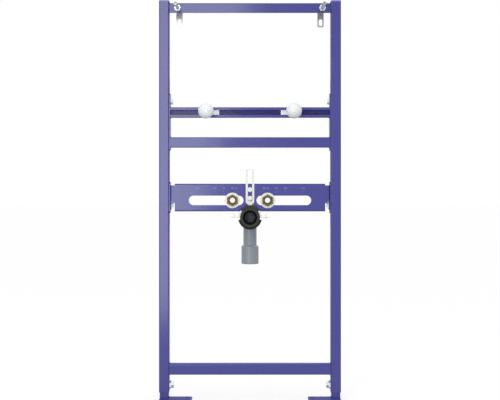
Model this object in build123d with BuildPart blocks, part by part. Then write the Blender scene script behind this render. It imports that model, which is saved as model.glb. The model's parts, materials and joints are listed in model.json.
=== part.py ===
from build123d import *
import os

# Overall size over the outer faces of the uprights, and from the floor to the upright caps.
frame_width = 516.0
frame_height = 1136.0

# Uprights: rectangular steel tubes with a slot in the inner wall for the clamped cross pieces.
upright_width = 28.5
upright_depth = 40.0
upright_wall = 1.5
upright_corner = 3.0
cap_thickness = 4.0
cap_plug = 18.0
cap_rounding = 1.5
clamp_slot_width = 11.0
clamp_slot_margin = 60.0

# Telescopic legs with foot plates, as far out as they are set.
leg_out = 19.0
leg_insert = 200.0
leg_wall = 2.0
leg_clearance = 0.3
foot_thickness = 4.0
foot_length = 91.3
foot_depth = 66.0
foot_inset = 1.2
foot_corner = 6.0
foot_hole_radius = 5.5
foot_hole_edge = 14.0
leg_clamp_rise = 19.3
weld_nut_flats = 20.0
weld_nut_height = 5.5

# M10 hexagon fasteners.
thread_radius = 5.0
hex_flats = 17.0
hex_head = 7.0
nut_height = 8.0
hole_clearance = 0.3
plate_nut_height = 30.0
plate_nut_width = 24.0
plate_nut_thickness = 6.0
screw_tail = 2.0

# Bottom bar, a square tube flush with the front faces of the uprights.
bar_height = 29.5
bar_depth = 30.0
bar_wall = 2.0
bar_corner = 2.5
bottom_bar_rise = 73.4

# Top crossbar, an angle with its web to the front and its flange on top.
top_bar_height = 28.0
top_bar_flange = 14.0
top_bar_wall = 2.5
top_bar_recess = 12.0
top_bar_drop = 7.2

# Wall rods through the top crossbar, with slotted wall straps at their back ends.
rod_edge = 23.5
rod_front = 97.0
rod_back = 90.0
strap_width = 18.5
strap_thickness = 4.0
strap_below = 45.0
strap_above = 13.0
strap_corner = 4.0
strap_slot_width = 10.0
strap_slot_length = 19.6
strap_slot_edge = 4.2

# Basin carriage: end plates, slotted rail for the basin studs, and stiffener bar.
plate_thickness = 3.0
plate_margin = 1.0
plate_corner = 6.0
carriage_bottom = 709.0
carriage_height = 162.0
carriage_screw_edge = 22.0
rail_height = 29.5
rail_depth = 28.0
rail_wall = 2.5
rail_corner = 2.5
rail_slot = 14.0
rail_recess = 2.0
rail_drop = 31.7
stiffener_depth = 28.0
stiffener_rise = 23.25

# Basin studs in slide plates, locked by flanged nuts, with ball caps on their ends.
stud_spacing = 242.0
stud_reach = 108.0
slide_inner = 33.5
slide_outer = 20.5
slide_thickness = 5.0
slide_clearance = 0.3
stud_tail = 8.0
nut_flange_radius = 12.0
nut_flange_height = 2.5
ball_diameter = 43.0
ball_collar_radius = 9.5
ball_collar_length = 5.0
stud_in_ball = 18.0

# Traverse plate for the water and waste connections, clamped between the uprights.
traverse_bottom = 536.4
traverse_height = 78.5
tab_reach = 16.0
traverse_wall = 2.0
traverse_flange = 12.0
traverse_bend = 2.0
traverse_recess = 4.0
tab_height = 69.5
tab_return = 34.0
tab_notch_inner = 18.0
tab_notch_outer = 26.5
bracket_height = 88.0
traverse_screw_drop = 20.0
tap_slot_length = 155.0
tap_slot_height = 26.7
tap_slot_gap = 37.0
tap_slot_rise = 31.3
waste_notch_clearance = 2.0

# Water connections: straight brass fittings, held by a locknut over a round washer.
tap_spacing = 100.0
tap_bore_radius = 10.2
tap_bore_depth = 15.0
tap_passage_radius = 7.6
tap_lead = 1.8
tap_outer_radius = 12.5
tap_nut_flats = 30.0
tap_nut_height = 8.0
tap_disc_radius = 22.0
tap_disc_height = 2.5
tap_flange_radius = 20.0
tap_flange_height = 4.0
tap_grip_flats = 27.0
tap_grip_length = 8.0
tap_inlet_radius = 10.4
tap_inlet_length = 13.0

# Waste holder: slotted strap in front of the traverse, two round-head bolts and a clip.
holder_width = 24.0
holder_thickness = 3.0
holder_rise = 42.0
holder_slot_width = 12.0
holder_slot_edge = 3.0
holder_slot_corner = 2.0
holder_neck_width = 10.0
holder_taper = 7.0
holder_foot = 12.0
holder_bolt_spacing = 24.5
holder_bolt_drop = 16.5
bolt_radius = 4.0
bolt_head_radius = 7.2
bolt_head_height = 4.5
bolt_nut_flats = 13.0
bolt_nut_height = 6.5
clip_band = 2.0
clip_thickness = 5.0
clip_length = 18.0
clip_gap_up = 3.7
clip_gap_down = 6.5
clip_lug_height = 16.0
clip_wing_reach = 57.0
clip_wing_thickness = 1.5
clip_screw_x = 45.5
clip_screw_radius = 2.2
clip_screw_rise = 9.0
clip_screw_head_radius = 4.0
clip_screw_head_height = 1.2

# Waste bend with a rubber sleeve in its socket and a wider spigot below.
waste_drop = 48.0
waste_socket_radius = 28.2
waste_wall = 2.7
waste_front = 20.0
waste_socket_length = 28.0
waste_run = 26.0
waste_bend_radius = 30.0
waste_pipe_radius = 19.3
waste_shoulder = 4.0
spigot_radius = 25.0
spigot_length = 50.5
spigot_shoulder = 3.5
spigot_rounding = 2.0
waste_fall = 137.4
sleeve_lip = 6.0
sleeve_mouth_radius = 20.0
sleeve_bore_radius = 14.5
sleeve_length = 20.0
sleeve_cone = 8.0
sleeve_clearance = 0.3
sleeve_rounding = 2.0

# Derived places, with the depth counted back from the front faces of the uprights.
sides = {"left": -1, "right": 1}
inner_x = frame_width / 2 - upright_width
upright_x = (frame_width - upright_width) / 2
upright_bottom = foot_thickness + leg_out
upright_top = frame_height - cap_thickness
mid_depth = upright_depth / 2
front_reach = stud_reach + ball_diameter / 2 - rail_recess
back_reach = top_bar_recess + rod_back
front_y = (front_reach - back_reach) / 2
rod_x = inner_x - rod_edge
plate_x = inner_x - plate_thickness
plate_depth = upright_depth - 2 * plate_margin
hole_radius = thread_radius + hole_clearance
carriage_screw_z = carriage_bottom + carriage_height - carriage_screw_edge
rail_z = carriage_screw_z - rail_drop
stiffener_z = carriage_bottom + stiffener_rise
top_bar_z = frame_height - top_bar_drop - top_bar_height / 2
bottom_bar_z = bottom_bar_rise + bar_height / 2
traverse_z = traverse_bottom + traverse_height / 2
traverse_screw_z = traverse_z - traverse_screw_drop
traverse_length = 2 * (inner_x - tab_reach)
tap_z = traverse_bottom + tap_slot_rise
tap_front = traverse_recess - tap_disc_height - tap_nut_height
traverse_back = traverse_recess + traverse_wall
tap_grip_front = traverse_back + tap_flange_height
tap_back = tap_grip_front + tap_grip_length + tap_inlet_length
waste_z = tap_z - waste_drop
waste_mouth = traverse_recess - waste_front
waste_depth = waste_mouth + waste_socket_length + waste_shoulder + waste_run + waste_bend_radius
clip_radius = waste_socket_radius + hole_clearance
holder_front = traverse_recess - holder_thickness
holder_top = traverse_bottom + traverse_height + holder_rise
clip_mid = traverse_recess - clip_length / 2
upper_bolt_z = traverse_bottom + traverse_height - holder_bolt_drop


# A plane whose normal points to the front, with X across and Z up.
def facing_front(x, depth, z):
    return Plane(origin=(x, front_y + depth, z), x_dir=(1, 0, 0), z_dir=(0, -1, 0))


# A plane whose normal points from one side to the middle of the frame.
def facing_inward(s, x, depth, z):
    return Plane(origin=(s * x, front_y + depth, z), x_dir=(0, 1, 0), z_dir=(-s, 0, 0))


# A level plane at a height, with its origin at a depth.
def level(x, depth, z):
    return Plane(origin=(x, front_y + depth, z), x_dir=(1, 0, 0), z_dir=(0, 0, 1))


# A plane across the frame at its left end, for profiles that run from side to side.
def across(start, depth, z):
    return Plane(origin=(-start, front_y + depth, z), x_dir=(0, 1, 0), z_dir=(1, 0, 0))


# A hexagon standing on a plane, with its outer corners turned down as on a forged head.
def hexagon_head(plane, flats, height, turn=0):
    with BuildSketch(plane) as hexagon:
        RegularPolygon(flats / 2, 6, major_radius=False, rotation=turn)
    extrude(hexagon.sketch, amount=height)
    crown = 0.95 * flats / 2
    with Locations(plane):
        Cone(crown + 1.8 * height, crown, height, align=(Align.CENTER, Align.CENTER, Align.MIN),
             mode=Mode.INTERSECT)


# A round bar or hole from a plane: forward is along the normal, back is behind it.
def round_run(plane, radius, forward, back, mode=Mode.ADD):
    with BuildSketch(plane.offset(-back)) as disc:
        Circle(radius)
    extrude(disc.sketch, amount=forward + back, mode=mode)


# Uprights: tubes with a clamping slot and a hole for the leg clamp in the inner wall.
slot_bottom = traverse_screw_z - clamp_slot_margin
slot_top = carriage_screw_z + clamp_slot_margin
leg_clamp_z = upright_bottom + leg_clamp_rise
for side, s in sides.items():
    with BuildPart() as upright:
        with BuildSketch(level(s * upright_x, mid_depth, upright_bottom)):
            RectangleRounded(upright_width, upright_depth, upright_corner)
            RectangleRounded(upright_width - 2 * upright_wall, upright_depth - 2 * upright_wall,
                             upright_corner - upright_wall, mode=Mode.SUBTRACT)
        extrude(amount=upright_top - upright_bottom)
        with BuildSketch(facing_inward(s, inner_x, mid_depth, (slot_bottom + slot_top) / 2)):
            SlotOverall(slot_top - slot_bottom, clamp_slot_width, rotation=90)
        extrude(amount=-upright_wall, mode=Mode.SUBTRACT)
        clamp_seat = facing_inward(s, inner_x, mid_depth, leg_clamp_z)
        round_run(clamp_seat, hole_radius, 0, upright_wall, Mode.SUBTRACT)
    upright.part.label = f"{side}_upright"
    os.makedirs("parts", exist_ok=True)
    export_step(upright.part, f"parts/{side}_upright.step")

# Upright caps: plastic plugs with a rounded top plate.
for side, s in sides.items():
    with BuildPart() as cap:
        with BuildSketch(level(s * upright_x, mid_depth, upright_top)):
            RectangleRounded(upright_width, upright_depth, upright_corner)
        extrude(amount=cap_thickness)
        fillet(cap.faces().sort_by(Axis.Z)[-1].edges(), cap_rounding)
        inside = upright_wall + leg_clearance
        with BuildSketch(level(s * upright_x, mid_depth, upright_top)):
            RectangleRounded(upright_width - 2 * inside, upright_depth - 2 * inside,
                             upright_corner - upright_wall)
        extrude(amount=-cap_plug)
    cap.part.label = f"{side}_upright_cap"
    export_step(cap.part, f"parts/{side}_upright_cap.step")

# Legs: tubes that slide in the uprights, each welded on a foot plate with two floor holes.
for side, s in sides.items():
    foot_outer = frame_width / 2 - foot_inset
    foot_x = s * (foot_outer - foot_length / 2)
    foot_mid = upright_depth - foot_depth / 2
    hole_x = s * (foot_outer - foot_length + foot_hole_edge)
    with BuildPart() as leg:
        with BuildSketch(level(foot_x, foot_mid, 0)):
            RectangleRounded(foot_length, foot_depth, foot_corner)
        extrude(amount=foot_thickness)
        with Locations(level(hole_x, foot_mid, foot_thickness)):
            with GridLocations(0, foot_depth - 2 * foot_hole_edge, 1, 2):
                Hole(foot_hole_radius)
        inside = upright_wall + leg_clearance
        leg_width = upright_width - 2 * inside
        leg_depth = upright_depth - 2 * inside
        with BuildSketch(level(s * upright_x, mid_depth, foot_thickness)):
            RectangleRounded(leg_width, leg_depth, leg_wall)
            Rectangle(leg_width - 2 * leg_wall, leg_depth - 2 * leg_wall, mode=Mode.SUBTRACT)
        extrude(amount=leg_out + leg_insert)
    leg.part.label = f"{side}_leg"
    export_step(leg.part, f"parts/{side}_leg.step")

# Leg nuts: hexagon nuts welded on the inner walls of the uprights.
for side, s in sides.items():
    with BuildPart() as leg_nut:
        with BuildSketch(facing_inward(s, inner_x, mid_depth, leg_clamp_z)):
            RegularPolygon(weld_nut_flats / 2, 6, major_radius=False, rotation=90)
            Circle(hole_radius, mode=Mode.SUBTRACT)
        extrude(amount=weld_nut_height)
    leg_nut.part.label = f"{side}_leg_nut"
    export_step(leg_nut.part, f"parts/{side}_leg_nut.step")

# Leg clamp screws: hexagon screws whose tips press on the legs.
for side, s in sides.items():
    seat = facing_inward(s, inner_x - weld_nut_height, mid_depth, leg_clamp_z)
    with BuildPart() as screw:
        hexagon_head(seat, hex_flats, hex_head)
        round_run(seat, thread_radius, 0, weld_nut_height + upright_wall + leg_clearance)
    screw.part.label = f"{side}_leg_screw"
    export_step(screw.part, f"parts/{side}_leg_screw.step")

# Bottom bar: a tube welded between the uprights.
with BuildPart() as bottom_bar:
    with BuildSketch(across(inner_x, bar_depth / 2, bottom_bar_z)):
        RectangleRounded(bar_depth, bar_height, bar_corner)
        Rectangle(bar_depth - 2 * bar_wall, bar_height - 2 * bar_wall, mode=Mode.SUBTRACT)
    extrude(amount=2 * inner_x)
bottom_bar.part.label = "bottom_bar"
export_step(bottom_bar.part, "parts/bottom_bar.step")

# Top crossbar: a folded angle, open to the back and below, with a hole for each wall rod.
with BuildPart() as top_crossbar:
    with BuildSketch(across(inner_x, top_bar_recess + top_bar_flange / 2, top_bar_z)) as section:
        Rectangle(top_bar_flange, top_bar_height)
        with Locations((top_bar_wall, -top_bar_wall)):
            Rectangle(top_bar_flange, top_bar_height, mode=Mode.SUBTRACT)
        fillet(section.vertices().group_by(Axis.X)[0].sort_by(Axis.Y)[-1], top_bar_wall)
    extrude(amount=2 * inner_x)
    for s in sides.values():
        hole = facing_front(s * rod_x, top_bar_recess, top_bar_z)
        round_run(hole, hole_radius, 0, top_bar_wall, Mode.SUBTRACT)
top_crossbar.part.label = "top_crossbar"
export_step(top_crossbar.part, "parts/top_crossbar.step")

# Wall rods: threaded rods through the top crossbar, back to the wall straps.
for side, s in sides.items():
    with BuildPart() as rod:
        web = facing_front(s * rod_x, top_bar_recess, top_bar_z)
        round_run(web, thread_radius, rod_front, rod_back)
        chamfer(rod.edges().filter_by(GeomType.CIRCLE), 1)
    rod.part.label = f"{side}_wall_rod"
    export_step(rod.part, f"parts/{side}_wall_rod.step")

# Rod nuts: hexagon nuts against the front of the top crossbar.
for side, s in sides.items():
    web = facing_front(s * rod_x, top_bar_recess, top_bar_z)
    with BuildPart() as nut:
        hexagon_head(web, hex_flats, nut_height)
        round_run(web, hole_radius, nut_height, 0, Mode.SUBTRACT)
    nut.part.label = f"{side}_rod_nut"
    export_step(nut.part, f"parts/{side}_rod_nut.step")

# Wall straps: flat steel on the back end of each rod, with a screw slot below it.
for side, s in sides.items():
    strap_height = strap_below + strap_above
    wall = facing_front(s * rod_x, back_reach, top_bar_z)
    slot_drop = strap_below - strap_slot_edge - strap_slot_length / 2
    with BuildPart() as strap:
        with BuildSketch(wall):
            with Locations((0, (strap_above - strap_below) / 2)):
                RectangleRounded(strap_width, strap_height, strap_corner)
            Circle(hole_radius, mode=Mode.SUBTRACT)
            with Locations((0, -slot_drop)):
                SlotOverall(strap_slot_length, strap_slot_width, rotation=90, mode=Mode.SUBTRACT)
        extrude(amount=strap_thickness)
    strap.part.label = f"{side}_wall_strap"
    export_step(strap.part, f"parts/{side}_wall_strap.step")

# Carriage plates: end plates of the basin carriage, flat on the inner walls of the uprights.
for side, s in sides.items():
    with BuildPart() as plate:
        middle = carriage_bottom + carriage_height / 2
        with BuildSketch(facing_inward(s, inner_x, mid_depth, middle)):
            RectangleRounded(plate_depth, carriage_height, plate_corner)
        extrude(amount=plate_thickness)
        seat = facing_inward(s, inner_x, mid_depth, carriage_screw_z)
        round_run(seat, hole_radius, plate_thickness, 0, Mode.SUBTRACT)
    plate.part.label = f"{side}_carriage_plate"
    export_step(plate.part, f"parts/{side}_carriage_plate.step")

# Basin rail: a slotted C profile, open to the front, between the carriage plates.
with BuildPart() as rail:
    with BuildSketch(across(plate_x, rail_recess + rail_depth / 2, rail_z)):
        RectangleRounded(rail_depth, rail_height, rail_corner)
        Rectangle(rail_depth - 2 * rail_wall, rail_height - 2 * rail_wall, mode=Mode.SUBTRACT)
        with Locations(((rail_wall - rail_depth) / 2, 0)):
            Rectangle(rail_wall, rail_slot, mode=Mode.SUBTRACT)
    extrude(amount=2 * plate_x)
rail.part.label = "basin_rail"
export_step(rail.part, "parts/basin_rail.step")

# Stiffener bar: a tube below the rail, between the carriage plates.
with BuildPart() as stiffener:
    with BuildSketch(across(plate_x, rail_recess + stiffener_depth / 2, stiffener_z)):
        RectangleRounded(stiffener_depth, bar_height, bar_corner)
        Rectangle(stiffener_depth - 2 * bar_wall, bar_height - 2 * bar_wall, mode=Mode.SUBTRACT)
    extrude(amount=2 * plate_x)
stiffener.part.label = "stiffener_bar"
export_step(stiffener.part, "parts/stiffener_bar.step")

# Carriage and traverse clamps: a hexagon screw into a plate nut inside each upright.
clamps = {"carriage": (carriage_screw_z, plate_thickness),
          "traverse": (traverse_screw_z, plate_thickness + traverse_wall)}
for clamp, (clamp_z, grip) in clamps.items():
    for side, s in sides.items():
        seat = facing_inward(s, inner_x - grip, mid_depth, clamp_z)
        with BuildPart() as screw:
            hexagon_head(seat, hex_flats, hex_head)
            shank = grip + upright_wall + plate_nut_thickness + screw_tail
            round_run(seat, thread_radius, 0, shank)
        screw.part.label = f"{side}_{clamp}_screw"
        export_step(screw.part, f"parts/{side}_{clamp}_screw.step")
        inside = facing_inward(s, inner_x + upright_wall, mid_depth, clamp_z)
        with BuildPart() as plate_nut:
            with BuildSketch(inside):
                Rectangle(plate_nut_width, plate_nut_height)
                Circle(hole_radius, mode=Mode.SUBTRACT)
            extrude(amount=-plate_nut_thickness)
        plate_nut.part.label = f"{side}_{clamp}_nut"
        export_step(plate_nut.part, f"parts/{side}_{clamp}_nut.step")

# Slide plates: threaded plates that slide inside the rail, longer to the middle of the frame.
for side, s in sides.items():
    slide_back = rail_recess + rail_wall + slide_thickness
    with BuildPart() as slide:
        with BuildSketch(facing_front(s * stud_spacing / 2, slide_back, rail_z)):
            with Locations((s * (slide_outer - slide_inner) / 2, 0)):
                Rectangle(slide_inner + slide_outer, rail_height - 2 * (rail_wall + slide_clearance))
            Circle(hole_radius, mode=Mode.SUBTRACT)
        extrude(amount=slide_thickness)
    slide.part.label = f"{side}_slide_plate"
    export_step(slide.part, f"parts/{side}_slide_plate.step")

# Basin studs: threaded studs from the slide plates to the front.
ball_back = ball_diameter / 2 + ball_collar_length
for side, s in sides.items():
    with BuildPart() as stud:
        rail_face = facing_front(s * stud_spacing / 2, rail_recess, rail_z)
        tail = rail_wall + slide_thickness + stud_tail
        round_run(rail_face, thread_radius, stud_reach - ball_back + stud_in_ball, tail)
        chamfer(stud.edges().filter_by(GeomType.CIRCLE), 1)
    stud.part.label = f"{side}_basin_stud"
    export_step(stud.part, f"parts/{side}_basin_stud.step")

# Stud nuts: flanged hexagon nuts that lock the studs on the rail.
for side, s in sides.items():
    rail_face = facing_front(s * stud_spacing / 2, rail_recess, rail_z)
    with BuildPart() as nut:
        hexagon_head(rail_face, hex_flats, nut_flange_height + nut_height)
        round_run(rail_face, nut_flange_radius, nut_flange_height, 0)
        round_run(rail_face, hole_radius, nut_flange_height + nut_height, 0, Mode.SUBTRACT)
    nut.part.label = f"{side}_stud_nut"
    export_step(nut.part, f"parts/{side}_stud_nut.step")

# Stud caps: plastic balls with a short collar, pushed on the studs.
for side, s in sides.items():
    ball_plane = facing_front(s * stud_spacing / 2, rail_recess - stud_reach, rail_z)
    with BuildPart() as ball:
        with Locations(ball_plane):
            Sphere(ball_diameter / 2)
        round_run(ball_plane, ball_collar_radius, 0, ball_back)
        deep = stud_in_ball + hole_clearance
        round_run(ball_plane.offset(-ball_back), hole_radius, deep, 0, Mode.SUBTRACT)
    ball.part.label = f"{side}_stud_cap"
    export_step(ball.part, f"parts/{side}_stud_cap.step")

# Traverse plate: a folded channel with end tabs bent back on the brackets.
with BuildPart() as traverse:
    channel_mid = traverse_recess + traverse_flange / 2
    with BuildSketch(across(traverse_length / 2, channel_mid, traverse_z)) as section:
        Rectangle(traverse_flange, traverse_height)
        with Locations((traverse_wall, 0)):
            Rectangle(traverse_flange, traverse_height - 2 * traverse_wall, mode=Mode.SUBTRACT)
        fillet(section.vertices().group_by(Axis.X)[1], traverse_bend)
        fillet(section.vertices().group_by(Axis.X)[0], traverse_bend + traverse_wall)
    extrude(amount=traverse_length)
    # End tabs: narrower than the web, bent back along the brackets.
    for s in sides.values():
        tab_start = traverse_length / 2 - traverse_wall
        mid_wall = traverse_wall / 2
        with BuildSketch(level(0, traverse_recess, traverse_z - tab_height / 2)):
            with BuildLine():
                FilletPolyline((s * tab_start, mid_wall), (s * (plate_x - mid_wall), mid_wall),
                               (s * (plate_x - mid_wall), tab_return), radius=traverse_bend + mid_wall)
            trace(line_width=traverse_wall)
        extrude(amount=tab_height)
        hole = facing_inward(s, plate_x, mid_depth, traverse_screw_z)
        round_run(hole, hole_radius, traverse_wall, 0, Mode.SUBTRACT)
        # A slanted notch through the bend, so that a spanner reaches the clamp screw.
        bend_back = traverse_recess + 2 * (traverse_bend + traverse_wall)
        notch_end = plate_x - traverse_wall
        with BuildSketch(facing_front(0, bend_back, traverse_z - tab_height / 2)):
            with BuildLine():
                Polyline((s * traverse_length / 2, 0), (s * notch_end, 0), (s * notch_end, tab_notch_outer),
                         (s * traverse_length / 2, tab_notch_inner), close=True)
            make_face()
        extrude(amount=bend_back - traverse_recess, mode=Mode.SUBTRACT)
    # Slots for the water connections, and the notch that clears the waste socket.
    cut_depth = traverse_recess + traverse_flange
    with BuildSketch(facing_front(0, cut_depth, tap_z)):
        with GridLocations(tap_slot_length + tap_slot_gap, 0, 2, 1):
            SlotOverall(tap_slot_length, tap_slot_height)
        with Locations((0, -waste_drop)):
            Circle(waste_socket_radius + waste_notch_clearance)
    extrude(amount=traverse_flange, mode=Mode.SUBTRACT)
    # Welded nuts for the two bolts of the waste holder.
    for row in range(2):
        spot = facing_front(0, traverse_back, upper_bolt_z - row * holder_bolt_spacing)
        with BuildSketch(spot):
            RegularPolygon(bolt_nut_flats / 2, 6, major_radius=False)
        extrude(amount=-bolt_nut_height)
        round_run(spot, bolt_radius + hole_clearance, traverse_wall, bolt_nut_height, Mode.SUBTRACT)
traverse.part.label = "traverse_plate"
export_step(traverse.part, "parts/traverse_plate.step")

# Traverse brackets: flat plates between the traverse tabs and the uprights.
for side, s in sides.items():
    with BuildPart() as bracket:
        with BuildSketch(facing_inward(s, inner_x, mid_depth, traverse_z)):
            RectangleRounded(plate_depth, bracket_height, plate_corner)
        extrude(amount=plate_thickness)
        seat = facing_inward(s, inner_x, mid_depth, traverse_screw_z)
        round_run(seat, hole_radius, plate_thickness, 0, Mode.SUBTRACT)
    bracket.part.label = f"{side}_traverse_bracket"
    export_step(bracket.part, f"parts/{side}_traverse_bracket.step")

# Tap fittings: turned brass, with a threaded mouth in front, a flange and hexagon behind the traverse.
for side, s in sides.items():
    x = s * tap_spacing / 2
    with BuildPart() as fitting:
        with BuildSketch(Plane(origin=(x, front_y, tap_z), x_dir=(0, 1, 0), z_dir=(1, 0, 0))):
            with BuildLine():
                step = tap_bore_radius - tap_passage_radius
                bore_end = tap_front + tap_bore_depth
                Polyline((tap_front, tap_bore_radius + tap_lead), (tap_front, tap_outer_radius),
                         (traverse_back, tap_outer_radius), (traverse_back, tap_flange_radius),
                         (tap_grip_front, tap_flange_radius), (tap_grip_front, tap_inlet_radius),
                         (tap_back, tap_inlet_radius), (tap_back, tap_passage_radius),
                         (bore_end, tap_passage_radius), (bore_end - step, tap_bore_radius),
                         (tap_front + tap_lead, tap_bore_radius), close=True)
            make_face()
        revolve(axis=Axis((x, front_y, tap_z), (0, 1, 0)))
        with BuildSketch(facing_front(x, tap_grip_front, tap_z)):
            RegularPolygon(tap_grip_flats / 2, 6, major_radius=False)
            Circle(tap_passage_radius, mode=Mode.SUBTRACT)
        extrude(amount=-tap_grip_length)
    fitting.part.label = f"{side}_tap_fitting"
    export_step(fitting.part, f"parts/{side}_tap_fitting.step")

# Tap washers: round plates between the locknuts and the traverse.
for side, s in sides.items():
    face = facing_front(s * tap_spacing / 2, traverse_recess, tap_z)
    with BuildPart() as disc:
        round_run(face, tap_disc_radius, tap_disc_height, 0)
        round_run(face, tap_outer_radius + hole_clearance, tap_disc_height, 0, Mode.SUBTRACT)
    disc.part.label = f"{side}_tap_washer"
    export_step(disc.part, f"parts/{side}_tap_washer.step")

# Tap locknuts: brass hexagons with a corner up, in front of the washers.
for side, s in sides.items():
    face = facing_front(s * tap_spacing / 2, traverse_recess - tap_disc_height, tap_z)
    with BuildPart() as nut:
        hexagon_head(face, tap_nut_flats, tap_nut_height, 90)
        round_run(face, tap_outer_radius + hole_clearance, tap_nut_height, 0, Mode.SUBTRACT)
    nut.part.label = f"{side}_tap_locknut"
    export_step(nut.part, f"parts/{side}_tap_locknut.step")

# Waste holder: a slotted strap that narrows to a neck and a half band with lugs.
with BuildPart() as holder:
    band_top = waste_z + clip_radius
    foot_z = band_top + clip_band + holder_foot
    half = holder_width / 2
    neck = holder_neck_width / 2
    strap_plane = facing_front(0, traverse_recess, 0)
    with BuildSketch(strap_plane) as outline:
        with BuildLine():
            Polyline((-half, holder_top), (half, holder_top), (half, foot_z), (neck, foot_z - holder_taper),
                     (neck, band_top), (-neck, band_top), (-neck, foot_z - holder_taper), (-half, foot_z),
                     close=True)
        make_face()
        fillet(outline.vertices().group_by(Axis.Y)[-1], holder_slot_edge)
        slot_low = foot_z
        slot_high = holder_top - holder_slot_edge
        with Locations((0, (slot_low + slot_high) / 2)):
            RectangleRounded(holder_slot_width, slot_high - slot_low, holder_slot_corner, mode=Mode.SUBTRACT)
    extrude(amount=holder_thickness)
    # The half band above the socket, with a thicker lug and a wing at each end.
    clip_back = facing_front(0, traverse_recess, waste_z)
    with BuildSketch(clip_back):
        Circle(clip_radius + clip_band)
        with Locations((0, -clip_wing_thickness / 2)):
            Rectangle(3 * clip_radius, 2 * clip_radius, align=(Align.CENTER, Align.MIN),
                      mode=Mode.INTERSECT)
        Circle(clip_radius, mode=Mode.SUBTRACT)
        with GridLocations(clip_radius + clip_wing_reach, 0, 2, 1):
            Rectangle(clip_wing_reach - clip_radius, clip_wing_thickness)
    extrude(amount=clip_length)
    with BuildSketch(clip_back):
        Circle(clip_radius + clip_thickness)
        with Locations((0, clip_gap_up)):
            Rectangle(3 * clip_radius, clip_lug_height, align=(Align.CENTER, Align.MIN),
                      mode=Mode.INTERSECT)
        Circle(clip_radius, mode=Mode.SUBTRACT)
    extrude(amount=clip_length)
    for s in sides.values():
        wing_top = level(s * clip_screw_x, clip_mid, waste_z + clip_wing_thickness / 2)
        round_run(wing_top, clip_screw_radius + hole_clearance, 0, clip_wing_thickness, Mode.SUBTRACT)
holder.part.label = "waste_holder"
export_step(holder.part, "parts/waste_holder.step")

# Holder bolts: round-head bolts through the strap's slot into the welded nuts.
for row, place in enumerate(("upper", "lower")):
    seat = facing_front(0, holder_front, upper_bolt_z - row * holder_bolt_spacing)
    with BuildPart() as bolt:
        round_run(seat, bolt_head_radius, bolt_head_height, 0)
        fillet(bolt.faces().sort_by(Axis.Y)[0].edges(), bolt_head_height / 2)
        round_run(seat, bolt_radius, 0, holder_thickness + traverse_wall + bolt_nut_height)
    bolt.part.label = f"{place}_holder_bolt"
    export_step(bolt.part, f"parts/{place}_holder_bolt.step")

# Clip screws: pan-head screws from below, through the wings of the half band.
for side, s in sides.items():
    wing_under = level(s * clip_screw_x, clip_mid, waste_z - clip_wing_thickness / 2)
    with BuildPart() as clip_screw:
        round_run(wing_under, clip_screw_radius, clip_wing_thickness + clip_screw_rise, 0)
        round_run(wing_under, clip_screw_head_radius, 0, clip_screw_head_height)
    clip_screw.part.label = f"{side}_clip_screw"
    export_step(clip_screw.part, f"parts/{side}_clip_screw.step")

# Waste clip: the lower half of the pipe clamp.
with BuildPart() as clip:
    with BuildSketch(facing_front(0, traverse_recess, waste_z)):
        Circle(clip_radius + clip_thickness)
        with Locations((0, -clip_gap_down)):
            Rectangle(3 * clip_radius, 2 * clip_radius, align=(Align.CENTER, Align.MAX),
                      mode=Mode.INTERSECT)
        Circle(clip_radius, mode=Mode.SUBTRACT)
    extrude(amount=clip_length)
clip.part.label = "waste_clip"
export_step(clip.part, "parts/waste_clip.step")

# Waste bend: a front socket, a swept quarter bend, a pipe and a wider spigot below.
mouth_y = front_y + waste_mouth
socket_end = mouth_y + waste_socket_length
pipe_start = socket_end + waste_shoulder
pipe_y = front_y + waste_depth
spigot_bottom = waste_z - waste_fall
spigot_top = spigot_bottom + spigot_length
pipe_low = spigot_top + spigot_shoulder
socket_plane = Plane(origin=(0, mouth_y, waste_z), x_dir=(0, 1, 0), z_dir=(1, 0, 0))
spigot_plane = Plane(origin=(0, pipe_y, spigot_bottom), x_dir=(0, 1, 0), z_dir=(1, 0, 0))
pipe_bore = waste_pipe_radius - waste_wall
with BuildPart() as bend:
    for radius, mode, wall in ((waste_pipe_radius, Mode.ADD, 0), (pipe_bore, Mode.SUBTRACT, waste_wall)):
        # Front socket with a cone down to the pipe.
        with BuildSketch(socket_plane):
            with BuildLine():
                far = waste_socket_length + waste_shoulder
                Polyline((0, 0), (0, waste_socket_radius - wall),
                         (waste_socket_length - wall, waste_socket_radius - wall),
                         (far, radius), (far, 0), close=True)
            make_face()
        revolve(axis=Axis((0, mouth_y, waste_z), (0, 1, 0)), mode=mode)
        # Quarter bend and pipe.
        with BuildLine() as path:
            FilletPolyline((0, pipe_start, waste_z), (0, pipe_y, waste_z), (0, pipe_y, pipe_low - wall),
                           radius=waste_bend_radius)
        with BuildSketch(Plane(origin=(0, pipe_start, waste_z), x_dir=(1, 0, 0), z_dir=(0, 1, 0))):
            Circle(radius)
        sweep(path=path.line, mode=mode)
        # Spigot with its cone, rounded at the lower rim.
        with BuildSketch(spigot_plane) as rim:
            with BuildLine():
                rise = spigot_length - wall
                Polyline((0, 0), (spigot_radius - wall, 0), (spigot_radius - wall, rise),
                         (radius, rise + spigot_shoulder), (0, rise + spigot_shoulder), close=True)
            make_face()
            if mode == Mode.ADD:
                fillet(rim.vertices().group_by(Axis.Y)[0].sort_by(Axis.X)[-1], spigot_rounding)
        revolve(axis=Axis((0, pipe_y, spigot_bottom), (0, 0, 1)), mode=mode)
bend.part.label = "waste_bend"
export_step(bend.part, "parts/waste_bend.step")

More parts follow.
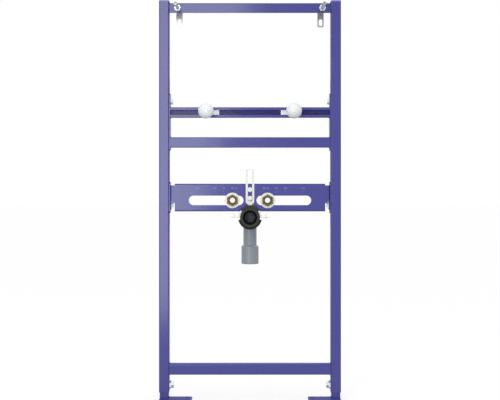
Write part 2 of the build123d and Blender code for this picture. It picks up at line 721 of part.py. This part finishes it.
# Waste sleeve: the rubber nipple in the socket, with a lip in front and a tapered bore.
with BuildPart() as sleeve:
    with BuildSketch(socket_plane) as ring:
        with BuildLine():
            body = waste_socket_radius - waste_wall - sleeve_clearance
            Polyline((-sleeve_lip, sleeve_mouth_radius), (-sleeve_lip, waste_socket_radius),
                     (0, waste_socket_radius), (0, body), (sleeve_length, body),
                     (sleeve_length, sleeve_bore_radius), (sleeve_cone, sleeve_bore_radius),
                     (0, sleeve_mouth_radius), close=True)
        make_face()
        lip_corners = ring.vertices().group_by(Axis.X)[0]
        fillet(lip_corners, sleeve_rounding)
    revolve(axis=Axis((0, mouth_y, waste_z), (0, 1, 0)))
sleeve.part.label = "waste_sleeve"
export_step(sleeve.part, "parts/waste_sleeve.step")
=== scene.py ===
import json
import math

import bmesh
import bpy
from mathutils import Matrix, Vector

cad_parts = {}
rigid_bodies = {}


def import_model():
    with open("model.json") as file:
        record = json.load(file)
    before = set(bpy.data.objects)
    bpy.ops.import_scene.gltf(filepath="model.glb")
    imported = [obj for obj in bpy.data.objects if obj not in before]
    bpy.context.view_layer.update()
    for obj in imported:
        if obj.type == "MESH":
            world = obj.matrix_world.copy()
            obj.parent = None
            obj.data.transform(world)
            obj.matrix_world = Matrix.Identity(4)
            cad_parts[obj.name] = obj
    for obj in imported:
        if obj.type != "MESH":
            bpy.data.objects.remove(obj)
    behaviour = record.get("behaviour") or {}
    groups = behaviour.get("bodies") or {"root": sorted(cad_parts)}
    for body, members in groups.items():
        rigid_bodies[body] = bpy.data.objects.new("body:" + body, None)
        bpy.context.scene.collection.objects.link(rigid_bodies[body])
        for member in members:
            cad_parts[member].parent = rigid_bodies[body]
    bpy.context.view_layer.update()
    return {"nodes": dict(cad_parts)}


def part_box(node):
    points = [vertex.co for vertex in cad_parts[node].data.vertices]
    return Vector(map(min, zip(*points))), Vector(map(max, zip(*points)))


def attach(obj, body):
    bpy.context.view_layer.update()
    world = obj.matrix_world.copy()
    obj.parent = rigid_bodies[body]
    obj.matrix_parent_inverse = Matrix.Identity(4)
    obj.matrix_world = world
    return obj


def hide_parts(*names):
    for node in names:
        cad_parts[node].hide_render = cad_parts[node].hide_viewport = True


# The imported frame goes into an empty scene.
# Depths are counted from the front faces of the uprights.
for leftover in list(bpy.data.objects):
    bpy.data.objects.remove(leftover)
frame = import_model()
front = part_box("left_upright")[0].y


# Uprights, bars and plates: cold-formed steel tube and folded sheet, welded and then powder coated.
# Polyester powder melts to one glossy skin over edges and seams, with a faint orange peel.
def linear(hex_colour):
    channels = [int(hex_colour[i:i + 2], 16) / 255 for i in (1, 3, 5)]
    return [c / 12.92 if c <= 0.04045 else ((c + 0.055) / 1.055) ** 2.4 for c in channels] + [1.0]


def add_node(tree, kind, inputs=None, **settings):
    node = tree.nodes.new(kind)
    for key, value in settings.items():
        setattr(node, key, value)
    for socket, value in (inputs or {}).items():
        if isinstance(value, bpy.types.NodeSocket):
            tree.links.new(value, node.inputs[socket])
        else:
            node.inputs[socket].default_value = value
    return node


def new_finish(name):
    finish = bpy.data.materials.new(name)
    finish.use_nodes = True
    tree = finish.node_tree
    place = add_node(tree, "ShaderNodeTexCoord").outputs["Object"]
    return finish, tree, tree.nodes["Principled BSDF"], place


def patchy_colour(tree, shader, place, patch, detail, darker, paler):
    patches = add_node(tree, "ShaderNodeTexNoise", {"Vector": place, "Scale": 1 / patch, "Detail": detail})
    colour = add_node(tree, "ShaderNodeMix", {0: patches.outputs[0], 6: linear(darker), 7: linear(paler)},
                      data_type="RGBA")
    tree.links.new(colour.outputs[2], shader.inputs["Base Color"])
    return patches.outputs[0]


def dress(finish, *names):
    for name in names:
        node = frame["nodes"][name]
        node.data.materials.clear()
        node.data.materials.append(finish)


def both(*names):
    return [f"{side}_{name}" for name in names for side in ("left", "right")]


def powder_finish(name):
    finish, tree, shader, place = new_finish(name)
    # The film drifts a little in tone over about 150 mm.
    patchy_colour(tree, shader, place, patch=0.15, detail=2.0, darker="#373781", paler="#3c3c87")
    # Orange peel has waves of about 2.5 mm.
    peel = add_node(tree, "ShaderNodeTexNoise", {"Vector": place, "Scale": 1 / 0.0025, "Detail": 1.0})
    gloss = add_node(tree, "ShaderNodeMapRange", {"Value": peel.outputs[0], "To Min": 0.12, "To Max": 0.19})
    skin = add_node(tree, "ShaderNodeBump", {"Height": peel.outputs[0], "Strength": 0.05,
                                             "Distance": 0.0002})
    # The guns spray from the front and back, so the film is thin and dull where a face turns aside.
    normal = add_node(tree, "ShaderNodeTexCoord").outputs["Normal"]
    turn = add_node(tree, "ShaderNodeSeparateXYZ", {0: normal})
    facing = add_node(tree, "ShaderNodeMath", {0: turn.outputs[1]}, operation="ABSOLUTE")
    film = add_node(tree, "ShaderNodeMapRange", {"Value": facing.outputs[0], "From Min": 0.7,
                                                 "From Max": 0.98, "To Min": 0.006, "To Max": 0.5})
    tree.links.new(gloss.outputs[0], shader.inputs["Roughness"])
    tree.links.new(skin.outputs[0], shader.inputs["Normal"])
    tree.links.new(film.outputs[0], shader.inputs["Specular IOR Level"])
    shader.inputs["IOR"].default_value = 1.5
    return finish, tree, shader, place


powder_coat = powder_finish("glossy_polyester_powder_coat")[0]
dress(powder_coat, *both("upright", "carriage_plate", "traverse_bracket"), "bottom_bar", "top_crossbar",
      "stiffener_bar", "traverse_plate")

# Basin rail: a channel folded from steel sheet, open to the front for the studs, in the same coat.
# Little powder reaches the inside of the channel, so the film there is thin and mirrors less.
mouth_depth = 0.005
full_depth = 0.009
rail_coat, tree, shader, place = powder_finish("thin_powder_coat_in_the_channel")
film = shader.inputs["Specular IOR Level"].links[0].from_socket
spot = add_node(tree, "ShaderNodeSeparateXYZ", {0: place})
inside = add_node(tree, "ShaderNodeMapRange", {"Value": spot.outputs[1], "From Min": front + mouth_depth,
                                               "From Max": front + full_depth, "To Min": 0.5,
                                               "To Max": 0.22})
thin_film = add_node(tree, "ShaderNodeMath", {0: film, 1: inside.outputs[0]}, operation="MINIMUM")
tree.links.new(thin_film.outputs[0], shader.inputs["Specular IOR Level"])
dress(rail_coat, "basin_rail")

# Legs: drawn steel tubes welded on foot plates, with the same coat.
# The tube above the plate is darker than the plate: painted shade, for the shade under the upright's end.
foot_thickness = 0.004
leg_coat, tree, shader, place = powder_finish("powder_coat_with_painted_shade_on_leg_tube")
plate_colour = shader.inputs["Base Color"].links[0].from_socket
spot = add_node(tree, "ShaderNodeSeparateXYZ", {0: place})
tube = add_node(tree, "ShaderNodeMapRange", {"Value": spot.outputs[2], "From Min": foot_thickness + 0.0002,
                                             "From Max": foot_thickness + 0.0012})
# Painted shade: the tube above the plate takes a darker blue than the plate.
shade = add_node(tree, "ShaderNodeMix", {0: tube.outputs[0], 6: plate_colour, 7: linear("#363678")},
                 data_type="RGBA")
tree.links.new(shade.outputs[2], shader.inputs["Base Color"])
dress(leg_coat, *both("leg"))


# Welds: short fillet runs where the cross bars meet the uprights and plates, and round the legs.
# Each run is a row of overlapping ripples, laid by hand and coated over with the rest.
def make_piece(name, bm, finish):
    mesh = bpy.data.meshes.new(name)
    bmesh.ops.recalc_face_normals(bm, faces=bm.faces)
    bm.to_mesh(mesh)
    bm.free()
    mesh.polygons.foreach_set("use_smooth", [True] * len(mesh.polygons))
    mesh.set_sharp_from_angle(angle=math.radians(35))
    mesh.materials.append(finish)
    piece = bpy.data.objects.new(name, mesh)
    bpy.context.scene.collection.objects.link(piece)
    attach(piece, "root")
    return piece


bead = 0.0018
ripple_step = 0.9 * bead
run_inset = 0.004
crossbar_inset = 0.001
tube_step = 0.0018


def weld(bm, start, end):
    start = Vector(start)
    end = Vector(end)
    ripples = round((end - start).length / ripple_step)
    for k in range(ripples + 1):
        middle = start.lerp(end, k / ripples)
        bmesh.ops.create_icosphere(bm, subdivisions=2, radius=bead, matrix=Matrix.Translation(middle))


for side, sign in (("left", -1), ("right", 1)):
    bm = bmesh.new()
    for bar in ("bottom_bar", "basin_rail", "stiffener_bar"):
        low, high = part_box(bar)
        end_x = sign * high.x
        for edge_z in (low.z, high.z):
            weld(bm, (end_x, low.y + run_inset, edge_z), (end_x, high.y - run_inset, edge_z))
        weld(bm, (end_x, high.y, low.z + run_inset), (end_x, high.y, high.z - run_inset))
    low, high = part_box("top_crossbar")
    end_x = sign * high.x
    weld(bm, (end_x, low.y + run_inset, high.z), (end_x, high.y - crossbar_inset, high.z))
    # The leg's tube stands inside the upright's faces by the upright's wall and a clearance.
    low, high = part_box(f"{side}_upright")
    foot_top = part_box(f"{side}_leg")[0].z + foot_thickness
    inner_x = sign * (min(abs(low.x), abs(high.x)) + tube_step)
    outer_x = sign * (max(abs(low.x), abs(high.x)) - tube_step)
    front_y = low.y + tube_step
    back_y = high.y - tube_step
    weld(bm, (inner_x, front_y, foot_top), (outer_x, front_y, foot_top))
    weld(bm, (inner_x, back_y, foot_top), (outer_x, back_y, foot_top))
    weld(bm, (inner_x, front_y + bead, foot_top), (inner_x, back_y - bead, foot_top))
    make_piece(f"{side}_welds", bm, powder_coat)


# Upright caps: moulded polyethylene plugs pressed into the tube ends, painted a paler blue than the coat as
# painted light from above on their tops.
# The moulded skin is matt and slightly mottled, with a fine erosion grain.
def fine_grain(tree, shader, place, grit, detail, strength):
    grain = add_node(tree, "ShaderNodeTexNoise", {"Vector": place, "Scale": 1 / grit, "Detail": detail})
    relief = add_node(tree, "ShaderNodeBump", {"Height": grain.outputs[0], "Strength": strength,
                                               "Distance": 0.0001})
    tree.links.new(relief.outputs[0], shader.inputs["Normal"])


cap_plastic, tree, shader, place = new_finish("moulded_blue_polyethylene")
# Painted light: the paler blue stands in for the light falling on the caps' tops.
patchy_colour(tree, shader, place, patch=0.006, detail=3.0, darker="#6d6da9", paler="#7a7ab4")
fine_grain(tree, shader, place, grit=0.0006, detail=2.0, strength=0.2)
shader.inputs["Roughness"].default_value = 0.5
dress(cap_plastic, *both("upright_cap"))

# Screws and nuts: cold-forged steel with bright zinc plating, screwed through the slots.
# Zinc gives a bluish silver with clouds of passivation about 12 mm across.
zinc, tree, shader, place = new_finish("bright_zinc_plated_steel")
clouds = patchy_colour(tree, shader, place, patch=0.012, detail=4.0, darker="#dcdde0", paler="#e8e8e7")
gloss = add_node(tree, "ShaderNodeMapRange", {"Value": clouds, "To Min": 0.18, "To Max": 0.28})
tree.links.new(gloss.outputs[0], shader.inputs["Roughness"])
fine_grain(tree, shader, place, grit=0.0008, detail=2.0, strength=0.08)
shader.inputs["Metallic"].default_value = 0.5
dress(zinc, *both("leg_screw", "leg_nut", "rod_nut", "carriage_screw", "carriage_nut", "traverse_screw",
                  "traverse_nut", "stud_nut", "clip_screw"))

# Wall straps: punched from zinc-coated strip, which is greyer than the plated fasteners.
# The rolled strip mirrors its surroundings along a grain that runs up and down.
strip, tree, shader, place = new_finish("rolled_zinc_coated_strip")
drawn_out = add_node(tree, "ShaderNodeMapping", {"Vector": place, "Scale": (1.0, 1.0, 0.04)}).outputs[0]
lines = patchy_colour(tree, shader, drawn_out, patch=0.0008, detail=3.0, darker="#a9abb0", paler="#b8babe")
gloss = add_node(tree, "ShaderNodeMapRange", {"Value": lines, "To Min": 0.22, "To Max": 0.32})
tree.links.new(gloss.outputs[0], shader.inputs["Roughness"])
shader.inputs["Metallic"].default_value = 0.7
dress(strip, *both("wall_strap"))

# Wall rods and basin studs: lengths of M10 threaded steel rod, rolled and plated in a darker grey zinc.
# Each is a helix of thread with a coarse pitch of 1.5 mm, cut square at both ends.
rod_zinc, tree, shader, place = new_finish("grey_zinc_plated_rod")
patchy_colour(tree, shader, place, patch=0.004, detail=3.0, darker="#8a8c91", paler="#a0a2a7")
shader.inputs["Roughness"].default_value = 0.28
shader.inputs["Metallic"].default_value = 0.7
pitch = 0.0015
thread_depth = 0.00092
steps_per_turn = 16
for node in both("wall_rod", "basin_stud"):
    low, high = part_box(node)
    middle = (low + high) / 2
    length = high.y - low.y
    crest = (high.x - low.x) / 2
    root = crest - thread_depth
    bm = bmesh.new()
    # One flank up, the crest, one flank down and the root, as shares of the pitch.
    profile = [(root, 0.0), (crest, 0.42), (crest, 0.54), (root, 0.96), (root, 1.0)]
    corners = [bm.verts.new((r, (along - 2) * pitch, 0)) for r, along in profile]
    edges = [bm.edges.new(pair) for pair in zip(corners, corners[1:])]
    bmesh.ops.spin(bm, geom=corners + edges, cent=(0, 0, 0), axis=(0, 1, 0), angle=2 * math.pi,
                   dvec=(0, pitch / steps_per_turn, 0), steps=steps_per_turn)
    # One turn is doubled until the helix is longer than the rod.
    turns = 1
    while turns * pitch < length + 3 * pitch:
        copy = bmesh.ops.duplicate(bm, geom=bm.verts[:] + bm.edges[:] + bm.faces[:])["geom"]
        bmesh.ops.translate(bm, verts=[v for v in copy if isinstance(v, bmesh.types.BMVert)],
                            vec=(0, turns * pitch, 0))
        turns *= 2
    bmesh.ops.remove_doubles(bm, verts=bm.verts, dist=1e-5)
    for end, outward in ((0, -1), (length, 1)):
        bmesh.ops.bisect_plane(bm, geom=bm.verts[:] + bm.edges[:] + bm.faces[:], plane_co=(0, end, 0),
                               plane_no=(0, outward, 0), clear_outer=True)
    bmesh.ops.edgeloop_fill(bm, edges=[e for e in bm.edges if e.is_boundary])
    bmesh.ops.translate(bm, verts=bm.verts, vec=(middle.x, low.y, middle.z))
    rod = make_piece(node + "_thread", bm, rod_zinc)
    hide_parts(node)

# Stud caps: moulded white polyethylene balls, glossy, pushed on the ends of the studs.
# The caps keep the studs clean until a basin is hung.
white_plastic, tree, shader, place = new_finish("moulded_white_polyethylene")
patchy_colour(tree, shader, place, patch=0.01, detail=2.0, darker="#c9cacf", paler="#d0d1d6")
shader.inputs["Roughness"].default_value = 0.2
shader.inputs["IOR"].default_value = 1.51
dress(white_plastic, *both("stud_cap"))

# Slide plates, tap washers, waste holder and its bolts: pressed steel with a pale passivated zinc skin.
# The chromate skin scatters more light than bare zinc, so these look nearly white.
satin_zinc, tree, shader, place = new_finish("pale_passivated_zinc")
patchy_colour(tree, shader, place, patch=0.009, detail=4.0, darker="#c1c2c4", paler="#cdcecf")
fine_grain(tree, shader, place, grit=0.0007, detail=2.0, strength=0.1)
shader.inputs["Roughness"].default_value = 0.35
shader.inputs["Metallic"].default_value = 0.15
dress(satin_zinc, *both("slide_plate", "tap_washer"), "waste_holder", "upper_holder_bolt",
      "lower_holder_bolt")

# Holder keeper: a small tab folded into the lower end of the holder's slot, under the lower bolt.
# It is pressed from the same sheet and keeps the bolt from slipping out of the slot.
tab_width = 0.0116
tab_thickness = 0.0012
tab_height = 0.0044
tab_depth = 0.0019
tab_drop = 0.0023
tab_edge = 0.0003
bm = bmesh.new()
tab = bmesh.ops.create_cube(bm, size=1.0)["verts"]
bmesh.ops.scale(bm, verts=tab, vec=(tab_width, tab_thickness, tab_height))
bmesh.ops.translate(bm, verts=tab, vec=(0, front + tab_depth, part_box("lower_holder_bolt")[0].z - tab_drop))
bmesh.ops.bevel(bm, geom=bm.edges[:], offset=tab_edge, segments=2, profile=0.5, affect="EDGES", material=-1)
make_piece("holder_keeper", bm, satin_zinc)

# Scale on the traverse: plain numbers and strokes, pad printed above the slots.
# They give the distance of each water connection from the middle, in millimetres.
ink, tree, shader, place = new_finish("pale_pad_printing_ink")
patchy_colour(tree, shader, place, patch=0.002, detail=3.0, darker="#6c6cad", paler="#8180bb")
shader.inputs["Roughness"].default_value = 0.55
ink_height = 0.00008
number_height = 0.0052
number_drop = 0.015
stroke_width = 0.0008
stroke_length = 0.003
stroke_drop = 0.0224
# A figure is about 0.7 of the font's size high.
letter_size = number_height * 1.4
plate_low, plate_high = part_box("traverse_plate")
plate_front = plate_low.y
number_z = plate_high.z - number_drop
stroke_z = plate_high.z - stroke_drop
for side, sign in (("left", -1), ("right", 1)):
    bm = bmesh.new()
    for distance in (40, 50, 75, 100, 150):
        mark_x = sign * distance / 1000
        figure = bpy.data.curves.new("figure", "FONT")
        figure.body = str(distance)
        figure.size = letter_size
        figure.align_x = "CENTER"
        figure.extrude = ink_height / 2
        holder = bpy.data.objects.new("figure", figure)
        flat = bpy.data.meshes.new_from_object(holder)
        flat.transform(Matrix.Translation((mark_x, plate_front, number_z))
                       @ Matrix.Rotation(math.radians(90), 4, "X"))
        bm.from_mesh(flat)
        bpy.data.meshes.remove(flat)
        bpy.data.objects.remove(holder)
        bpy.data.curves.remove(figure)
        # The two innermost numbers have no stroke.
        if distance > 50:
            stroke = bmesh.ops.create_cube(bm, size=1.0)["verts"]
            bmesh.ops.scale(bm, verts=stroke, vec=(stroke_width, ink_height, stroke_length))
            bmesh.ops.translate(bm, verts=stroke, vec=(mark_x, plate_front, stroke_z))
    bmesh.ops.remove_doubles(bm, verts=bm.verts, dist=1e-6)
    make_piece(f"{side}_scale", bm, ink)

# Tap fittings and locknuts: brass forgings, turned, with a half inch thread inside the mouth.
# Turning leaves rings about the mouth's axis, drawn 7.5 mm apart because finer ones wouldn't show.
brass, tree, shader, place = new_finish("forged_and_turned_brass")
ring_spacing = 0.0075
tap_low, tap_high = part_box("right_tap_fitting")
tap_axis = (tap_low + tap_high) / 2
spot = add_node(tree, "ShaderNodeSeparateXYZ", {0: place})
from_middle = add_node(tree, "ShaderNodeMath", {0: spot.outputs[0]}, operation="ABSOLUTE")
across = add_node(tree, "ShaderNodeMath", {0: from_middle.outputs[0], 1: tap_axis.x}, operation="SUBTRACT")
up = add_node(tree, "ShaderNodeMath", {0: spot.outputs[2], 1: tap_axis.z}, operation="SUBTRACT")
round_axis = add_node(tree, "ShaderNodeCombineXYZ", {0: across.outputs[0], 1: up.outputs[0]})
# The Wave node turns through 20 radians in each unit.
rings = add_node(tree, "ShaderNodeTexWave", {"Vector": round_axis.outputs[0], "Distortion": 0.4,
                                             "Scale": 2 * math.pi / 20 / ring_spacing},
                 wave_type="RINGS", rings_direction="Z")
marks = add_node(tree, "ShaderNodeBump", {"Height": rings.outputs[0], "Strength": 0.1, "Distance": 0.0001})
tree.links.new(marks.outputs[0], shader.inputs["Normal"])
stains = patchy_colour(tree, shader, place, patch=0.008, detail=4.0, darker="#5f4e30", paler="#8c7d55")
gloss = add_node(tree, "ShaderNodeMapRange", {"Value": stains, "To Min": 0.22, "To Max": 0.38})
tree.links.new(gloss.outputs[0], shader.inputs["Roughness"])
shader.inputs["Metallic"].default_value = 1.0
dress(brass, *both("tap_fitting", "tap_locknut"))
gas_pitch = 0.001814
mouth_radius = 0.0102
ridge_height = 0.0011
ridge_sink = 0.0002
thread_start = 0.0026
thread_turns = 5
thread_steps = 24
for side in ("left", "right"):
    low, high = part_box(f"{side}_tap_fitting")
    middle = (low + high) / 2
    bm = bmesh.new()
    corners = [bm.verts.new((mouth_radius + ridge_sink, along * gas_pitch, 0)) for along in (-0.35, 0.35)]
    corners.append(bm.verts.new((mouth_radius - ridge_height, 0, 0)))
    section = bm.faces.new(corners)
    bmesh.ops.spin(bm, geom=[section], cent=(0, 0, 0), axis=(0, 1, 0), angle=2 * math.pi * thread_turns,
                   dvec=(0, gas_pitch / thread_steps, 0), steps=thread_steps * thread_turns)
    bmesh.ops.translate(bm, verts=bm.verts, vec=(middle.x, low.y + thread_start, middle.z))
    make_piece(f"{side}_tap_thread", bm, brass)

# Waste clip: the lower half of the pipe clamp, moulded in black polyamide and hooked to the holder.
# The moulding has a fine matt erosion texture.
black_plastic, tree, shader, place = new_finish("moulded_black_polyamide")
patchy_colour(tree, shader, place, patch=0.0007, detail=3.0, darker="#131313", paler="#1d1d1d")
fine_grain(tree, shader, place, grit=0.0007, detail=3.0, strength=0.25)
shader.inputs["Roughness"].default_value = 0.45
shader.inputs["Specular IOR Level"].default_value = 0.1
dress(black_plastic, "waste_clip")

# Waste sleeve: a moulded rubber nipple that seals the trap's tail pipe in the socket.
# Rubber is a warm dark grey with a dull bloom, and the bore of the mouth is painted near black as painted
# shade inside it.
mouth_edge = 0.020
bore_shade_outer_edge = 0.021
rubber, tree, shader, place = new_finish("moulded_black_rubber")
patchy_colour(tree, shader, place, patch=0.009, detail=4.0, darker="#262726", paler="#343534")
dull_bloom = shader.inputs["Base Color"].links[0].from_socket
sleeve_low, sleeve_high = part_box("waste_sleeve")
sleeve_axis_z = (sleeve_low.z + sleeve_high.z) / 2
spot = add_node(tree, "ShaderNodeSeparateXYZ", {0: place})
up = add_node(tree, "ShaderNodeMath", {0: spot.outputs[2], 1: sleeve_axis_z}, operation="SUBTRACT")
round_axis = add_node(tree, "ShaderNodeCombineXYZ", {0: spot.outputs[0], 1: up.outputs[0]})
radius = add_node(tree, "ShaderNodeVectorMath", {0: round_axis.outputs[0]}, operation="LENGTH")
# Painted shade: inside the mouth's edge the rubber is painted near black.
outside_bore_shade = add_node(tree, "ShaderNodeMapRange", {"Value": radius.outputs["Value"], "From Min": mouth_edge,
                                            "From Max": bore_shade_outer_edge})
painted_bore_shade = add_node(tree, "ShaderNodeMix", {0: outside_bore_shade.outputs[0], 6: linear("#0a0a0a"), 7: dull_bloom},
                   data_type="RGBA")
tree.links.new(painted_bore_shade.outputs[2], shader.inputs["Base Color"])
fine_grain(tree, shader, place, grit=0.0005, detail=2.0, strength=0.2)
shader.inputs["Roughness"].default_value = 0.55
shader.inputs["Specular IOR Level"].default_value = 0.2
dress(rubber, "waste_sleeve")

# Clip lining: a rubber lining inside the half band, with a broad lip that shows in front of it.
# It is a strip bent round the socket, and ends short of the lugs.
lip_inner = 0.0285
lip_outer = 0.0353
lip_thickness = 0.0011
lip_gap = 0.0001
lip_start = 38
lip_sweep = 104
lip_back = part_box("waste_clip")[0].y - lip_gap
lip_front = lip_back - lip_thickness
bm = bmesh.new()
corners = [bm.verts.new((r, y, 0)) for r, y in ((lip_inner, lip_front), (lip_outer, lip_front),
                                                (lip_outer, lip_back), (lip_inner, lip_back))]
bmesh.ops.rotate(bm, verts=corners, cent=(0, 0, 0), matrix=Matrix.Rotation(math.radians(-lip_start), 3, "Y"))
section = bm.faces.new(corners)
bmesh.ops.spin(bm, geom=[section], cent=(0, 0, 0), axis=(0, -1, 0), angle=math.radians(lip_sweep), steps=36)
bmesh.ops.translate(bm, verts=bm.verts, vec=(0, 0, sleeve_axis_z))
make_piece("clip_lining", bm, rubber)

# Dark ears: two small triangles in the black rubber finish, standing above and below each tap washer.
ear_height = 0.0034
ear_width = 0.0086
ear_thickness = 0.002
ear_gap = 0.0001
for side in ("left", "right"):
    low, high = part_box(f"{side}_tap_washer")
    middle = (low + high) / 2
    ear_y = high.y - ear_thickness / 2
    bm = bmesh.new()
    for upward in (-1, 1):
        ear = bmesh.ops.create_cone(bm, cap_ends=True, segments=3, radius1=1, radius2=1, depth=1)["verts"]
        bmesh.ops.rotate(bm, verts=ear, matrix=Matrix.Rotation(math.radians(90), 3, "X"))
        # A triangle of radius 1 is 1.5 high and the root of 3 wide.
        bmesh.ops.scale(bm, verts=ear, vec=(ear_width / 3 ** 0.5, ear_thickness, upward * ear_height / 1.5))
        ear_z = middle.z + upward * (high.z - middle.z + ear_gap + ear_height / 3)
        bmesh.ops.translate(bm, verts=ear, vec=(middle.x, ear_y, ear_z))
    make_piece(f"{side}_tap_dark_ears", bm, rubber)

# Waste bend: injection-moulded grey polypropylene, with a satin skin and faint flow marks.
# The wider spigot below takes the socket of the waste pipe.
grey_plastic, tree, shader, place = new_finish("moulded_grey_polypropylene")
patchy_colour(tree, shader, place, patch=0.03, detail=3.0, darker="#787e88", paler="#808690")
fine_grain(tree, shader, place, grit=0.0008, detail=2.0, strength=0.1)
shader.inputs["Roughness"].default_value = 0.3
dress(grey_plastic, "waste_bend")


# Floor: a wide pale studio floor, painted matt, which keeps the soft shadow of the feet.
# It is white to the camera and in reflections, without lighting the frame more.
def background_rays(tree):
    path = add_node(tree, "ShaderNodeLightPath")
    straight = add_node(tree, "ShaderNodeMath", {0: path.outputs["Is Camera Ray"],
                                                 1: path.outputs["Is Glossy Ray"]}, operation="MAXIMUM")
    return add_node(tree, "ShaderNodeMath", {0: straight.outputs[0], 1: path.outputs["Is Transmission Ray"]},
                    operation="MAXIMUM").outputs[0]


floor_half_width = 14.0
floor_lift = 0.63
floor_paint, tree, shader, _ = new_finish("pale_studio_floor")
lift = add_node(tree, "ShaderNodeMath", {0: background_rays(tree), 1: floor_lift}, operation="MULTIPLY")
tree.links.new(lift.outputs[0], shader.inputs["Emission Strength"])
shader.inputs["Emission Color"].default_value = (1, 1, 1, 1)
shader.inputs["Base Color"].default_value = linear("#8f8f8f")
shader.inputs["Roughness"].default_value = 0.9
shader.inputs["Specular IOR Level"].default_value = 0.0
bm = bmesh.new()
bmesh.ops.create_grid(bm, x_segments=1, y_segments=1, size=floor_half_width)
floor_mesh = bpy.data.meshes.new("studio_floor")
bm.to_mesh(floor_mesh)
bm.free()
floor_mesh.materials.append(floor_paint)
floor = bpy.data.objects.new("studio_floor", floor_mesh)
bpy.context.scene.collection.objects.link(floor)

# Studio light: even light from all round, stronger from above and from both sides, and three softboxes.
# The tall one leans to the left in front, so its edge crosses the glossy front faces on a slant.
# The fill looks into the sleeve from the front, and the high key lights the upper faces.
world = bpy.data.worlds.new("studio")
bpy.context.scene.world = world
world.use_nodes = True
tree = world.node_tree
background = tree.nodes["Background"]
direction = add_node(tree, "ShaderNodeTexCoord").outputs["Generated"]
heading = add_node(tree, "ShaderNodeSeparateXYZ", {0: direction})
above = add_node(tree, "ShaderNodeMapRange", {"Value": heading.outputs[2], "To Min": 0.28, "To Max": 1.68})
sideways = add_node(tree, "ShaderNodeMath", {0: heading.outputs[0]}, operation="ABSOLUTE")
sides = add_node(tree, "ShaderNodeMapRange", {"Value": sideways.outputs[0], "From Min": 0.5, "To Max": 0.6},
                 interpolation_type="SMOOTHSTEP")
ambient = add_node(tree, "ShaderNodeMath", {0: above.outputs[0], 1: sides.outputs[0]}, operation="ADD")
level = add_node(tree, "ShaderNodeMix", {0: background_rays(tree), 2: ambient.outputs[0], 3: 1.0})
tree.links.new(level.outputs[0], background.inputs["Strength"])
background.inputs["Color"].default_value = (1, 1, 1, 1)


def softbox(name, place, width, height, radiance, lean=0, dip=0, mirrored=False, tint=(1, 1, 1)):
    lamp = bpy.data.lights.new(name, "AREA")
    lamp.shape = "RECTANGLE"
    lamp.color = tint
    lamp.size = width
    lamp.size_y = height
    lamp.energy = radiance * math.pi * width * height
    panel = bpy.data.objects.new(name, lamp)
    panel.matrix_world = (Matrix.Translation(place) @ Matrix.Rotation(math.radians(lean), 4, "Y")
                          @ Matrix.Rotation(math.radians(90 - dip), 4, "X"))
    panel.visible_camera = False
    panel.visible_glossy = mirrored
    bpy.context.scene.collection.objects.link(panel)


softbox("left_softbox", (-0.379, front - 1.6, 0.80), width=0.5, height=1.54, radiance=3.5, lean=12.35,
        mirrored=True, tint=(1, 1, 0.82))
softbox("front_fill", (-0.04, front - 1.2, 0.6), width=0.4, height=0.4, radiance=9.5)
softbox("high_key", (-0.4, front - 2.4, 2.7), width=1.4, height=1.0, radiance=1.8, dip=40)

# Camera: level, straight in front of the middle, a little above half the frame's height.
# A shift of the lens, and no tilt, puts the frame in the picture, so the uprights stay upright.
camera_distance = 3.2
camera_height = 0.6767
view = bpy.data.cameras.new("camera")
view.sensor_width = 36.0
view.lens = 81.3
view.shift_y = -0.076
camera = bpy.data.objects.new("camera", view)
camera.matrix_world = (Matrix.Translation((0, front - camera_distance, camera_height))
                       @ Matrix.Rotation(math.radians(90), 4, "X"))
bpy.context.scene.collection.objects.link(camera)
bpy.context.scene.camera = camera
bpy.context.scene.view_settings.view_transform = "Standard"
